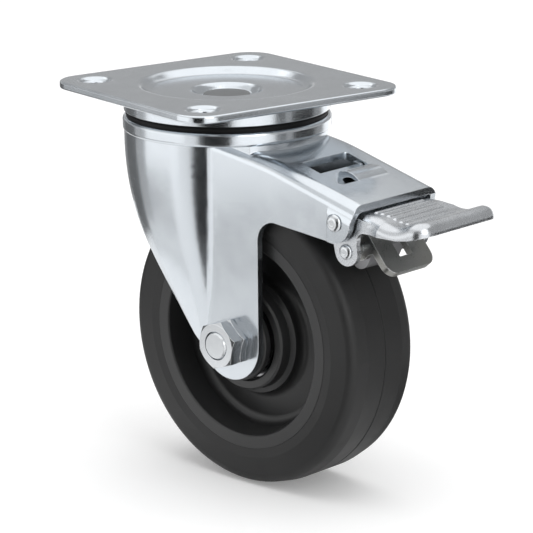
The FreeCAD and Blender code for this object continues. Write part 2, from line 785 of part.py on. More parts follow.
def pedal_form(inset, r):
    body = along_z(pedal_plan(inset), KNEE[1] - 2 * PIVOT_EYE_R, PIVOT[1] / 2)
    body = body.common(along_y(pedal_top(inset), -40, 40))
    tops = []
    for e in body.Edges:
        box = e.BoundBox
        if box.ZMin > KNEE[1] + 9 and box.XMax > PIVOT[0] + 2.5:
            mid = e.valueAt((e.FirstParameter + e.LastParameter) / 2)
            if abs(e.tangentAt((e.FirstParameter + e.LastParameter) / 2).z) < 0.6 and mid.x > PIVOT[0] - 1:
                tops.append(e)
    return body.makeFillet(r, tops)


def brake_pedal():
    """One pressed piece: ribbed tread, turned-down rim and two ears for the pivots."""
    body = pedal_form(0, 4.2).cut(pedal_form(PEDAL_T, 1.7))
    rim = along_y(outline(
        "xz", (84, -20), (84, -44.6), (94, -45.2), (112, -44.9), (118, -43.9), (130, -40.6),
        (130, -20),
    ), -40, 40)
    body = body.common(rim)
    for i in range(RIB_COUNT):
        x = RIB_X + i * RIB_PITCH
        z = tread_height(x) - RIB_SINK
        rib = Part.makeCylinder(RIB_R, 2 * RIB_Y, V(x, -RIB_Y, z), V(0, 1, 0))
        for side in (-1, 1):
            rib = rib.fuse(Part.makeSphere(RIB_R, V(x, side * RIB_Y, z)))
        body = body.fuse(rib)
    ear_top = along_y(outline(
        "xz", (80.0, -37.0), (84.0, -39.0), (97.0, -40.5), (97.0, -45.1), (93.6, -45.3),
        ((91.2, -46.3), (90.1, -48.8)), (89.9, -54.3), (79.0, -52.0), (72.6, -43.6),
    ), -EAR_Y, EAR_Y)
    ears = ear_top.fuse(along_y(capsule(PIVOT, 6.0, KNEE, 5.8), -EAR_Y, EAR_Y))
    ears = ears.cut(inside_block(EAR_Y - PEDAL_T))
    body = body.fuse(ears)
    body = body.cut(cross_hole(PIVOT_R + RUN_FIT, *PIVOT))
    return body.cut(cross_hole(KNEE_R + RUN_FIT, *KNEE))


def turned_about_pivot(p, degrees):
    """Where a point of the pedal goes when the tip swings down."""
    a = math.radians(degrees)
    dx, dz = p[0] - PIVOT[0], p[1] - PIVOT[1]
    return (
        PIVOT[0] + dx * math.cos(a) + dz * math.sin(a),
        PIVOT[1] - dx * math.sin(a) + dz * math.cos(a),
    )


def brake_shoe():
    """Cam block on the knee pin; its nose meets the tread when the pedal is down."""
    knee = turned_about_pivot(KNEE, PEDAL_TRAVEL)
    share = (WHEEL_R + SHOE_GAP + SHOE_NOSE_R) / math.dist(knee, (TRAIL, AXLE_Z))
    pressed = (TRAIL + share * (knee[0] - TRAIL), AXLE_Z + share * (knee[1] - AXLE_Z))
    nose = turned_about_pivot(pressed, -PEDAL_TRAVEL)
    body = along_y(capsule(KNEE, SHOE_HUB_R, nose, SHOE_NOSE_R), -SHOE_HALF, SHOE_HALF)
    return body.cut(cross_hole(KNEE_R + BOLT_FIT, *KNEE))


def release_lever():
    """Bent plate: slanted tongue with a slot, and two folded lugs on the knee pin."""
    (x0, z0), (x1, z1) = LEVER_TOP, LEVER_END
    length = math.hypot(x1 - x0, z1 - z0)
    slab = Part.makeBox(length, 2 * LEVER_Y, LEVER_T, V(0, -LEVER_Y, -LEVER_T))
    ends = []
    for e in slab.Edges:
        if e.BoundBox.ZLength > LEVER_T / 2 and e.BoundBox.XMin > length - 0.1:
            ends.append(e)
    slab = slab.makeFillet(5.0, ends)
    head, foot = SLOT_MARGIN
    slot = Part.makeBox(length - head - foot, LEVER_SLOT, 20, V(head, -LEVER_SLOT / 2, -10))
    slab = slab.cut(slot)
    slab.rotate(V(0, 0, 0), V(0, 1, 0), -math.degrees(math.atan2(z1 - z0, x1 - x0)))
    slab.translate(V(x0, 0, z0))
    lug = along_y(outline(
        "xz", (x0 - 1.2, z0 - 2.4), (x0 + 5.4, z0 - 8.2), (KNEE[0] + 4.4, KNEE[1] - 2.4),
        ((KNEE[0] + 0.2, KNEE[1] - 5.0), (KNEE[0] - 4.6, KNEE[1] - 1.8)), (KNEE[0] - 2.4, KNEE[1] + 4.4),
    ), -LEVER_Y, LEVER_Y)
    lug = lug.cut(inside_block(LEVER_Y - LEVER_T))
    body = slab.fuse(lug)
    return body.cut(cross_hole(KNEE_R + RUN_FIT, *KNEE))


def brake_leaf():
    """Spring strip lying under the housing's top, its free end turned down by the pedal's root."""
    x0 = WINDOW_X[0] + 5.5
    x1 = FLARE_X - 0.5
    t = LEAF_T

    def at(x, down):
        return (x, housing_top(x) - SHEET - down)

    strip = along_y(outline(
        "xz", at(x0, 0), at(x1 - 6, 0), at(x1 - 1, 0.9), at(x1, 0.9 + t), at(x1 - 6.5, t), at(x0, t),
    ), -LEAF_HALF, LEAF_HALF)
    tab_x = x0 + 4.0
    tab = along_y(outline(
        "xz", at(x0, t), at(x0 + 0.6, 1.0 - SHEET), at(tab_x, 0.8 - SHEET), at(tab_x + 1.0, t),
    ), LEAF_HALF - t, LEAF_HALF)
    return strip.fuse(tab)


def main():
    save("top_plate", top_plate())
    save("upper_race", upper_race())
    save("upper_balls", ball_ring(UPPER_BALLS, UPPER_RACE_R, UPPER_BALL_Z))
    save("upper_ball_cage", ball_cage(UPPER_BALLS, UPPER_RACE_R, UPPER_BALL_Z))
    save("lower_race", lower_race())
    save("lower_balls", ball_ring(LOWER_BALLS, LOWER_RACE_R, LOWER_BALL_Z))
    save("lower_ball_cage", ball_cage(LOWER_BALLS, LOWER_RACE_R, LOWER_BALL_Z))
    save("dust_seal", dust_seal())
    save("kingpin", kingpin())
    save("kingpin_nut", kingpin_nut())
    save("fork", fork())
    save("tyre", tyre())
    save("wheel_rim", wheel_rim())
    for name, side in (("near", -1), ("far", 1)):
        save("%s_bearing_outer" % name, bearing_race(side, False))
        save("%s_bearing_inner" % name, bearing_race(side, True))
        save("%s_bearing_balls" % name, bearing_balls(side))
        save("%s_bearing_shield" % name, bearing_shield(side))
        save("%s_bush" % name, side_bush(side))
    save("axle_sleeve", axle_sleeve())
    save("middle_spacer", middle_spacer())
    save("axle_bolt", axle_bolt())
    save("jam_nut", nut(-CHEEK_Y, JAM_NUT_H))
    save("axle_nut", nut(-CHEEK_Y - JAM_NUT_H, NUT_H))
    save("brake_pedal", brake_pedal())
    save("pedal_pin", rivet(PIVOT, PIVOT_R, PIVOT_HEAD_R, CHEEK_Y + FLARE, 1.7))
    save("knee_pin", rivet(KNEE, KNEE_R, KNEE_HEAD_R, EAR_Y, 1.4))
    save("release_lever", release_lever())
    save("brake_shoe", brake_shoe())
    save("brake_leaf", brake_leaf())


main()
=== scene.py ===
import json
import math

import bmesh
import bpy
from bpy.props import FloatProperty, FloatVectorProperty, IntProperty, PointerProperty
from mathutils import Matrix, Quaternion, Vector


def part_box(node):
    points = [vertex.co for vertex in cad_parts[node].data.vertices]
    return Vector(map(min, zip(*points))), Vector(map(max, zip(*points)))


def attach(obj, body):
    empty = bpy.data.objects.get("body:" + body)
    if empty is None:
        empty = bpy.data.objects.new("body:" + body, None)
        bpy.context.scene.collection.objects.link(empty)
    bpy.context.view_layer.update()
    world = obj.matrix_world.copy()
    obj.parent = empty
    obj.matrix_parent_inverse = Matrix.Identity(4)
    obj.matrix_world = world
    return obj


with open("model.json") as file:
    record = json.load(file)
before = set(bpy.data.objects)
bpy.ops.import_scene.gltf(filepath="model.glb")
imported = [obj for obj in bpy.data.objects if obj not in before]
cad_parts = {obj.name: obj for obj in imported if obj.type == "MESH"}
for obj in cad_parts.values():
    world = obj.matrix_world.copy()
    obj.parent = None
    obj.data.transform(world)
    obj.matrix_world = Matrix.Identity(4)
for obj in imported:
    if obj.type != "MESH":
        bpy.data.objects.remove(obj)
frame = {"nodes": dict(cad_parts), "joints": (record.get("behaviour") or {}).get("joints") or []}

bl_info = {
    "name": "Braked Swivel Castor",
    "version": (1, 0, 0),
    "blender": (4, 5, 0),
    "location": "View3D > Sidebar > Castor",
    "description": "Finishes a braked swivel castor in bright zinc, rubber and moulded plastic",
    "category": "Object",
}

MM = 0.001
NODES = frame["nodes"]
JOINTS = {joint["name"]: joint for joint in frame["joints"]}
AXLE = Vector(JOINTS["wheel_spin"]["pos_m"])

SHEET_PARTS = ("top_plate", "upper_race", "lower_race", "fork", "brake_leaf")
HARDWARE_PARTS = ("kingpin", "kingpin_nut", "axle_bolt", "jam_nut", "axle_nut", "pedal_pin",
                  "knee_pin")
PLAIN_STEEL_PARTS = ("axle_sleeve", "middle_spacer", "near_bearing_shield", "far_bearing_shield",
                     "upper_ball_cage", "lower_ball_cage")
POLISHED_PARTS = ("upper_balls", "lower_balls", "near_bearing_balls", "far_bearing_balls",
                  "near_bearing_inner", "far_bearing_inner", "near_bearing_outer",
                  "far_bearing_outer")

WHITE = (1.0, 1.0, 1.0, 1.0)

# A thread ridge in cross-section: share of its height, place along the axis in pitches.
RIDGE = ((0.0, -0.42), (1.0, -0.10), (1.0, 0.10), (0.0, 0.42))
# A ridge reaches its full height after one part in this many of its length.
RIDGE_RUN_OUT = 6
# Least share of its width that a ridge keeps at its ends.
RIDGE_TIP = 0.1
# How far a ridge's foot lies under the surface that carries it.
RIDGE_SINK = 0.06 * MM

# Width of a rubbed edge, in times its rounding.
WEAR_REACH = 1.6
# Height of the fine relief on plated and on moulded surfaces.
PLATED_RELIEF = 0.04 * MM
MOULDED_RELIEF = 0.08 * MM

# Flat pieces in the width of one curved board.
BOARD_STEPS = 16
# Height of the flat boards over the floor.
BOARD_LIFT = MM


def colour(label, note, default):
    return FloatVectorProperty(name=label, description=note, subtype="COLOR", size=3,
                               min=0.0, max=1.0, default=default)


def length(label, note, default):
    return FloatProperty(name=label, description=note, unit="LENGTH", default=default)


def ratio(label, note, default):
    return FloatProperty(name=label, description=note, min=0.0, max=20.0, default=default)


def angle(label, note, degrees):
    return FloatProperty(name=label, description=note, subtype="ANGLE",
                         default=math.radians(degrees))


class CastorFinish(bpy.types.PropertyGroup):
    """Colours and surface sizes of the castor's finishes"""
    zinc: colour("Zinc", "Bright zinc on the pressed sheet", (0.600, 0.635, 0.668))
    zinc_shade: colour("Zinc Shade", "Duller clouds in the zinc", (0.545, 0.580, 0.615))
    hardware: colour("Hardware", "Zinc on nuts, bolt and rivets", (0.62, 0.64, 0.66))
    pedal: colour("Pedal", "Plated pedal", (0.60, 0.62, 0.645))
    lever: colour("Lever", "Darker plate on the release lever", (0.30, 0.30, 0.285))
    rubber: colour("Rubber", "Black tyre rubber", (0.0125, 0.0125, 0.0128))
    plastic: colour("Wheel Centre", "Moulded wheel centre", (0.0175, 0.0177, 0.0182))
    seal: colour("Dust Seal", "Black ring in the swivel head", (0.004, 0.004, 0.0044))
    shoe: colour("Brake Shoe", "Dull steel of the brake shoe", (0.30, 0.30, 0.31))
    steel: colour("Plain Steel", "Uncoated steel inside the wheel", (0.22, 0.22, 0.225))
    polished: colour("Polished Steel", "Balls and races", (0.30, 0.30, 0.31))
    wear: colour("Bare Metal", "Metal that shows on rubbed edges", (0.86, 0.87, 0.88))
    dirt: colour("Dust", "Pale dust on the black parts", (0.10, 0.097, 0.094))
    edge_round: length("Edge Rounding", "Radius that softens every edge", 0.35 * MM)
    grain_size: length("Zinc Grain", "Size of the crystals in the zinc", 0.55 * MM)
    cloud_size: length("Zinc Clouds", "Size of the tone changes in the zinc", 14.0 * MM)


class CastorDetail(bpy.types.PropertyGroup):
    """Sizes of the thread that is added to the kingpin"""
    shank: length("Shank", "Radius of the kingpin's shank", 6.0 * MM)
    thread_pitch: length("Thread Pitch", "Pitch of the kingpin's thread", 1.75 * MM)
    thread_depth: length("Thread Depth", "Height of a thread's crest over its root", 0.55 * MM)
    thread_extra: length("Thread Extra", "Height that is added for the sunk foot", 0.05 * MM)
    tip_gap: length("Tip Gap", "From the kingpin's end to the thread", 0.6 * MM)
    nut_gap: length("Nut Gap", "From the nut to the thread", 0.4 * MM)
    thread_steps: IntProperty(name="Thread Steps", description="Sections in one turn of a thread",
                              min=12, max=96, default=48)


class CastorStage(bpy.types.PropertyGroup):
    """Camera, floor and light of the picture"""
    floor_size: length("Floor", "Half width of the pale floor", 6.0)
    floor_grey: ratio("Floor Grey", "Share of the light that the floor sends back", 0.86)
    floor_glow: ratio("Floor Glow", "Light of its own that lifts the seen floor to white", 0.205)
    azimuth: angle("Azimuth", "Camera's turn round the castor", 42.98)
    elevation: angle("Elevation", "Camera's height over the horizon", 14.657)
    roll: angle("Roll", "Camera's lean about its own axis", 0.5687)
    distance: length("Distance", "From the camera to the point it aims at", 1.18886)
    aim: FloatVectorProperty(name="Aim", description="Point that the camera looks at",
                             subtype="TRANSLATION", unit="LENGTH", size=3,
                             default=(0.02139, 0.0, -0.07507))
    focal: FloatProperty(name="Focal Length", description="Lens on a 36 mm sensor, in millimetres",
                         min=1.0, default=193.49)
    fill: ratio("Fill", "Strength of the light from all round", 0.50)
    sky_power: ratio("Sky Power", "Strength of the wide light from above", 1.62)
    sky_spread: angle("Sky Spread", "Width of the light from above", 60.0)
    lamp_aim: FloatVectorProperty(name="Lamp Aim", description="Point that the lamps look at",
                                  subtype="TRANSLATION", unit="LENGTH", size=3,
                                  default=(0.02, 0.0, -0.08))


class Graph:
    """A node tree that is built one node at a time."""

    def __init__(self, tree):
        self.tree = tree

    def node(self, kind, links=None, **settings):
        made = self.tree.nodes.new(kind)
        for key, value in settings.items():
            setattr(made, key, value)
        for socket, source in (links or {}).items():
            if isinstance(source, bpy.types.NodeSocket):
                self.link(source, made.inputs[socket])
            else:
                made.inputs[socket].default_value = source
        return made

    def maths(self, operation, a, b=0.0, clamp=False):
        return self.node("ShaderNodeMath", {0: a, 1: b}, operation=operation,
                         use_clamp=clamp).outputs[0]

    def remap(self, value, low, high, to_low=0.0, to_high=1.0):
        made = self.node("ShaderNodeMapRange", {
            "Value": value, "From Min": low, "From Max": high, "To Min": to_low, "To Max": to_high})
        return made.outputs["Result"]

    def noise(self, vector, scale, detail=3.0, roughness=0.5, distortion=0.0):
        return self.node("ShaderNodeTexNoise", {
            "Vector": vector, "Scale": scale, "Detail": detail, "Roughness": roughness,
            "Distortion": distortion}).outputs["Fac"]

    def blend(self, factor, a, b):
        return self.node("ShaderNodeMix", {0: factor, 6: a, 7: b}, data_type="RGBA").outputs[2]

    def scaled_sum(self, a, a_share, b, b_share):
        return self.maths("ADD", self.maths("MULTIPLY", a, a_share),
                          self.maths("MULTIPLY", b, b_share))

    def link(self, source, socket):
        self.tree.links.new(source, socket)


def rgba(value):
    return (value[0], value[1], value[2], 1.0)


def darker(tint, share):
    return tuple(share * c for c in tint)


def effect(name, inputs, outputs):
    """A shader node group with named sockets: its graph, its inputs and its exit node."""
    tree = bpy.data.node_groups.new(name, "ShaderNodeTree")
    for label, kind in inputs:
        tree.interface.new_socket(name=label, in_out="INPUT", socket_type="NodeSocket" + kind)
    for label, kind in outputs:
        tree.interface.new_socket(name=label, in_out="OUTPUT", socket_type="NodeSocket" + kind)
    graph = Graph(tree)
    entry = graph.node("NodeGroupInput")
    leave = graph.node("NodeGroupOutput")
    return graph, entry.outputs, leave


def place(graph, name, **values):
    """An effect placed in a material, with this material's own values."""
    made = graph.node("ShaderNodeGroup", node_tree=bpy.data.node_groups[name])
    for label, value in values.items():
        socket = made.inputs[label.replace("_", " ").title()]
        if isinstance(value, bpy.types.NodeSocket):
            graph.link(value, socket)
        else:
            socket.default_value = value
    return made.outputs


def make_clouds():
    """Soft tone changes and crystal grain of zinc plate."""
    g, put, leave = effect(
        "plated_clouds",
        [("Cloud Scale", "Float"), ("Grain Scale", "Float")],
        [("Cloud", "Float"), ("Grain", "Float"), ("Height", "Float")])
    where = g.node("ShaderNodeTexCoord").outputs["Object"]
    cloud = g.noise(where, put["Cloud Scale"], detail=4.0, roughness=0.55, distortion=0.4)
    grain = g.noise(where, put["Grain Scale"], detail=2.0, roughness=0.6)
    fine = g.noise(where, g.maths("MULTIPLY", put["Grain Scale"], 3.1), detail=1.0)
    height = g.scaled_sum(grain, 0.65, fine, 0.35)
    g.link(g.remap(cloud, low=0.3, high=0.7), leave.inputs["Cloud"])
    g.link(g.remap(grain, low=0.3, high=0.7), leave.inputs["Grain"])
    g.link(height, leave.inputs["Height"])


def make_scuffs():
    """Fine straight scratches in patches, from pressing and handling."""
    g, put, leave = effect(
        "handling_scuffs",
        [("Scale", "Float"), ("Stretch", "Vector"), ("Amount", "Float")],
        [("Mask", "Float")])
    where = g.node("ShaderNodeTexCoord").outputs["Object"]
    drawn = g.node("ShaderNodeMapping", {"Vector": where, "Scale": put["Stretch"]}).outputs[0]
    lines = g.noise(drawn, put["Scale"], detail=2.0, roughness=0.7)
    patches = g.noise(where, g.maths("MULTIPLY", put["Scale"], 0.02), detail=2.0)
    thin = g.remap(lines, low=0.60, high=0.72)
    spread = g.remap(patches, low=0.45, high=0.65)
    mask = g.maths("MULTIPLY", g.maths("MULTIPLY", thin, spread), put["Amount"], clamp=True)
    g.link(mask, leave.inputs["Mask"])


def make_edge_wear():
    """Mask of the edges that hands and tools rub."""
    g, put, leave = effect(
        "edge_wear",
        [("Radius", "Float"), ("Breakup Scale", "Float"), ("Amount", "Float")],
        [("Mask", "Float")])
    where = g.node("ShaderNodeTexCoord").outputs["Object"]
    flat = g.node("ShaderNodeNewGeometry").outputs["Normal"]
    eased = g.node("ShaderNodeBevel", {"Radius": put["Radius"]}, samples=4).outputs[0]
    match = g.node("ShaderNodeVectorMath", {0: flat, 1: eased}, operation="DOT_PRODUCT")
    turn = g.remap(match.outputs["Value"], low=0.995, high=0.90)
    patches = g.noise(where, put["Breakup Scale"], detail=3.0, roughness=0.6)
    broken = g.remap(patches, low=0.35, high=0.6)
    mask = g.maths("MULTIPLY", g.maths("MULTIPLY", turn, broken), put["Amount"], clamp=True)
    g.link(mask, leave.inputs["Mask"])


def make_mould_grain():
    """Fine texture of a moulded black surface, with slow changes in its sheen."""
    g, put, leave = effect(
        "mould_grain",
        [("Grain Scale", "Float"), ("Patch Scale", "Float")],
        [("Patch", "Float"), ("Height", "Float")])
    where = g.node("ShaderNodeTexCoord").outputs["Object"]
    grain = g.noise(where, put["Grain Scale"], detail=3.0, roughness=0.65)
    pits = g.node("ShaderNodeTexVoronoi", {
        "Vector": where, "Scale": g.maths("MULTIPLY", put["Grain Scale"], 0.5)}).outputs["Distance"]
    patch = g.noise(where, put["Patch Scale"], detail=4.0, roughness=0.55, distortion=0.6)
    height = g.scaled_sum(grain, 0.7, pits, 0.3)
    g.link(g.remap(patch, low=0.3, high=0.7), leave.inputs["Patch"])
    g.link(height, leave.inputs["Height"])


def make_turned_rings():
    """Faint rings round the wheel's axle, left by the mould's turning tool."""
    g, put, leave = effect(
        "turned_rings",
        [("Ring Scale", "Float")],
        [("Height", "Float")])
    where = g.node("ShaderNodeTexCoord").outputs["Object"]
    centred = g.node("ShaderNodeVectorMath", {0: where, 1: tuple(-AXLE)},
                     operation="ADD").outputs[0]
    flat = g.node("ShaderNodeVectorMath", {0: centred, 1: (1.0, 0.0, 1.0)},
                  operation="MULTIPLY").outputs[0]
    radius = g.node("ShaderNodeVectorMath", {0: flat}, operation="LENGTH").outputs["Value"]
    rings = g.node("ShaderNodeTexNoise", {
        "W": g.maths("MULTIPLY", radius, put["Ring Scale"]), "Scale": 1.0, "Detail": 2.0},
        noise_dimensions="1D").outputs["Fac"]
    g.link(rings, leave.inputs["Height"])


def make_dust():
    """Mask of dust that settles on upward faces and in patches."""
    g, put, leave = effect(
        "settled_dust",
        [("Patch Scale", "Float"), ("Amount", "Float")],
        [("Mask", "Float")])
    where = g.node("ShaderNodeTexCoord").outputs["Object"]
    normal = g.node("ShaderNodeNewGeometry").outputs["Normal"]
    up = g.node("ShaderNodeSeparateXYZ", {0: normal}).outputs["Z"]
    film = g.noise(where, put["Patch Scale"], detail=5.0, roughness=0.65)
    patch = g.remap(film, low=0.42, high=0.75)
    grit = g.noise(where, g.maths("MULTIPLY", put["Patch Scale"], 40.0), detail=1.0)
    speck = g.remap(grit, low=0.66, high=0.74)
    settled = g.maths("MULTIPLY", patch, g.remap(up, low=-0.5, high=1.0, to_low=0.25))
    mask = g.maths("MULTIPLY", g.maths("ADD", settled, g.maths("MULTIPLY", speck, 0.5)),
                   put["Amount"], clamp=True)
    g.link(mask, leave.inputs["Mask"])


def start_material(name):
    material = bpy.data.materials.new(name)
    material.use_nodes = True
    graph = Graph(material.node_tree)
    shader = material.node_tree.nodes["Principled BSDF"]
    return material, graph, shader


def bump(graph, shader, height, strength, distance, rounding):
    """Surface relief over softened edges."""
    eased = graph.node("ShaderNodeBevel", {"Radius": rounding}, samples=6).outputs[0]
    made = graph.node("ShaderNodeBump", {
        "Height": height, "Strength": strength, "Distance": distance, "Normal": eased})
    graph.link(made.outputs[0], shader.inputs["Normal"])


def plated_metal(name, light, shade, rough, wear=0.35, relief=0.10, stretch=(1.0, 1.0, 0.04),
                 scuffs=0.5):
    """Bright plated steel: clouds, grain, scuffs and rubbed edges."""
    finish = bpy.context.scene.castor_finish
    material, g, shader = start_material(name)
    clouds = place(g, "plated_clouds", cloud_scale=1.0 / finish.cloud_size,
                   grain_scale=1.0 / finish.grain_size)
    worn = place(g, "edge_wear", radius=finish.edge_round * WEAR_REACH, breakup_scale=420.0,
                 amount=wear)
    lines = place(g, "handling_scuffs", scale=1500.0, stretch=stretch, amount=scuffs)
    tone = g.scaled_sum(clouds["Cloud"], 0.65, clouds["Grain"], 0.35)
    base = g.blend(tone, rgba(shade), rgba(light))
    base = g.blend(worn["Mask"], base, rgba(finish.wear))
    roughness = g.remap(clouds["Grain"], low=0.0, high=1.0, to_low=rough[0], to_high=rough[1])
    roughness = g.maths("ADD", roughness, g.maths("MULTIPLY", clouds["Cloud"], 0.05))
    roughness = g.maths("ADD", roughness, g.maths("MULTIPLY", lines["Mask"], 0.12), clamp=True)
    g.link(base, shader.inputs["Base Color"])
    g.link(roughness, shader.inputs["Roughness"])
    shader.inputs["Metallic"].default_value = 1.0
    height = g.maths("ADD", clouds["Height"], g.maths("MULTIPLY", lines["Mask"], -0.3))
    bump(g, shader, height, relief, PLATED_RELIEF, finish.edge_round)
    return material


def plain_metal(name, tint, rough):
    """Uncoated steel with an oily, uneven sheen."""
    return plated_metal(name, tint, darker(tint, 0.75), rough, wear=0.15, relief=0.15, scuffs=0.8)


def moulded_black(name, tint, rough, relief, grain, dust, rings=0.0, level=0.5):
    """Black rubber or plastic from a mould: grain, sheen patches and a little dust."""
    finish = bpy.context.scene.castor_finish
    material, g, shader = start_material(name)
    skin = place(g, "mould_grain", grain_scale=grain, patch_scale=45.0)
    settled = place(g, "settled_dust", patch_scale=60.0, amount=dust)
    base = g.blend(skin["Patch"], rgba(darker(tint, 0.8)), rgba(tint))
    base = g.blend(settled["Mask"], base, rgba(finish.dirt))
    roughness = g.remap(skin["Patch"], low=0.0, high=1.0, to_low=rough[0], to_high=rough[1])
    roughness = g.maths("ADD", roughness, g.maths("MULTIPLY", settled["Mask"], 0.3), clamp=True)
    g.link(base, shader.inputs["Base Color"])
    g.link(roughness, shader.inputs["Roughness"])
    shader.inputs["Specular IOR Level"].default_value = level
    height = skin["Height"]
    if rings:
        ring = place(g, "turned_rings", ring_scale=2600.0)
        height = g.maths("ADD", height, g.maths("MULTIPLY", ring["Height"], rings))
    bump(g, shader, height, relief, MOULDED_RELIEF, finish.edge_round)
    return material


def dress(names, material):
    """Gives each of the castor's solids its finish."""
    for name in names:
        data = NODES[name].data
        data.materials.clear()
        data.materials.append(material)


def add_object(name, data):
    made = bpy.data.objects.new(name, data)
    bpy.context.scene.collection.objects.link(made)
    return made


def add_mesh(name, mesh):
    """An object made from an edit mesh, which is used up."""
    data = bpy.data.meshes.new(name)
    mesh.to_mesh(data)
    mesh.free()
    return add_object(name, data)


def helix_ridge(name, root, pitch, depth, low, high, steps):
    """Thread ridge round the Z axis from low to high, fading out at both ends."""
    turns = (high - low) / pitch
    count = max(3, round(turns * steps))
    mesh = bmesh.new()
    rings = []
    for i in range(count + 1):
        t = i / count
        turn = 2 * math.pi * turns * t
        fade = min(1.0, RIDGE_RUN_OUT * t, RIDGE_RUN_OUT * (1 - t))
        z = low + (high - low) * t
        ring = []
        for out, along in RIDGE:
            r = root - RIDGE_SINK + depth * out * fade
            ring.append(mesh.verts.new((r * math.cos(turn), r * math.sin(turn),
                                        z + along * pitch * max(fade, RIDGE_TIP))))
        rings.append(ring)
    for a, b in zip(rings, rings[1:]):
        for j in range(len(RIDGE)):
            k = (j + 1) % len(RIDGE)
            mesh.faces.new((a[j], a[k], b[k], b[j]))
    mesh.faces.new(list(reversed(rings[0])))
    mesh.faces.new(rings[-1])
    bmesh.ops.recalc_face_normals(mesh, faces=mesh.faces)
    return add_mesh(name, mesh)


def light_area(name, where, size, power):
    """Soft rectangular lamp that looks at the stage's lamp aim."""
    data = bpy.data.lights.new(name, "AREA")
    data.shape = "RECTANGLE"
    data.size, data.size_y = size
    data.energy = power
    made = add_object(name, data)
    made.location = where
    view = Vector(bpy.context.scene.castor_stage.lamp_aim) - Vector(where)
    made.rotation_euler = view.to_track_quat("-Z", "Y").to_euler()


def light_sky(stage):
    """Wide soft light from above that reaches the whole floor evenly."""
    data = bpy.data.lights.new("sky_lamp", "SUN")
    data.angle = stage.sky_spread
    data.energy = stage.sky_power
    made = add_object("sky_lamp", data)
    made.rotation_euler = Vector(SKY_DIRECTION).to_track_quat("Z", "Y").to_euler()
    made.visible_glossy = False


def seen_rays(graph):
    """1 for rays that see the background: from the camera, off gloss and through glass."""
    path = graph.node("ShaderNodeLightPath").outputs
    seen = graph.maths("MAXIMUM", path["Is Camera Ray"], path["Is Glossy Ray"])
    return graph.maths("MAXIMUM", seen, path["Is Transmission Ray"])


def light_world(strength):
    """White for rays that see the background, a plain grey light for all others."""
    world = bpy.data.worlds.new("studio")
    world.use_nodes = True
    g = Graph(world.node_tree)
    background = world.node_tree.nodes["Background"]
    background.inputs["Color"].default_value = WHITE
    seen = g.remap(seen_rays(g), low=0.0, high=1.0, to_low=strength, to_high=1.0)
    g.link(seen, background.inputs["Strength"])
    bpy.context.scene.world = world


def floor_level():
    """Height of the tyre's lowest point."""
    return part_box("tyre")[0].z


def pale_floor(stage):
    """White floor that still shows the castor's shadow."""
    mesh = bmesh.new()
    bmesh.ops.create_grid(mesh, x_segments=8, y_segments=8, size=stage.floor_size)
    made = add_mesh("pale_floor", mesh)
    made.location = (0.0, 0.0, floor_level())
    material, g, shader = start_material("pale_floor")
    shader.inputs["Base Color"].default_value = rgba([stage.floor_grey] * 3)
    shader.inputs["Roughness"].default_value = 0.85
    shader.inputs["Specular IOR Level"].default_value = 0.2
    shader.inputs["Emission Color"].default_value = WHITE
    glow = g.maths("MULTIPLY", seen_rays(g), stage.floor_glow)
    g.link(glow, shader.inputs["Emission Strength"])
    made.data.materials.append(material)


def studio_card(name, azimuth, half_angle, low, high, distance, grey):
    """A curved upright board."""
    show_card(name, azimuth, half_angle, (distance, low), (distance, high), grey)


def floor_card(name, azimuth, half_angle, near, far, grey):
    """A sector of board that lies on the floor."""
    level = floor_level() + BOARD_LIFT
    show_card(name, azimuth, half_angle, (near, level), (far, level), grey)


def show_card(name, azimuth, half_angle, first, last, grey):
    """A board between two edges, each a distance and a height. Metal reflects it, but it
    is out of the camera's sight, lights nothing matt and casts no shadow."""
    mesh = bmesh.new()
    columns = []
    for i in range(BOARD_STEPS + 1):
        a = math.radians(azimuth - half_angle + 2 * half_angle * i / BOARD_STEPS)
        columns.append([mesh.verts.new((r * math.cos(a), r * math.sin(a), z))
                        for r, z in (first, last)])
    for a, b in zip(columns, columns[1:]):
        mesh.faces.new((a[0], b[0], b[1], a[1]))
    made = add_mesh(name, mesh)
    material = bpy.data.materials.new(name)
    material.use_nodes = True
    g = Graph(material.node_tree)
    g.tree.nodes.clear()
    glow = g.node("ShaderNodeEmission", {"Color": rgba([grey] * 3)})
    g.node("ShaderNodeOutputMaterial", {"Surface": glow.outputs[0]})
    made.data.materials.append(material)
    made.visible_camera = False
    made.visible_diffuse = False
    made.visible_shadow = False


# Direction that the wide light comes from.
SKY_DIRECTION = (0.05, 0.05, 1.0)

# Soft lamps: place, width and height, power.
LAMPS = (
    ("right_lamp", (0.62, -0.22, 0.22), (0.35, 0.60), 1.5),
    ("left_lamp", (-0.55, -0.05, 0.20), (0.45, 0.70), 0.35),
)

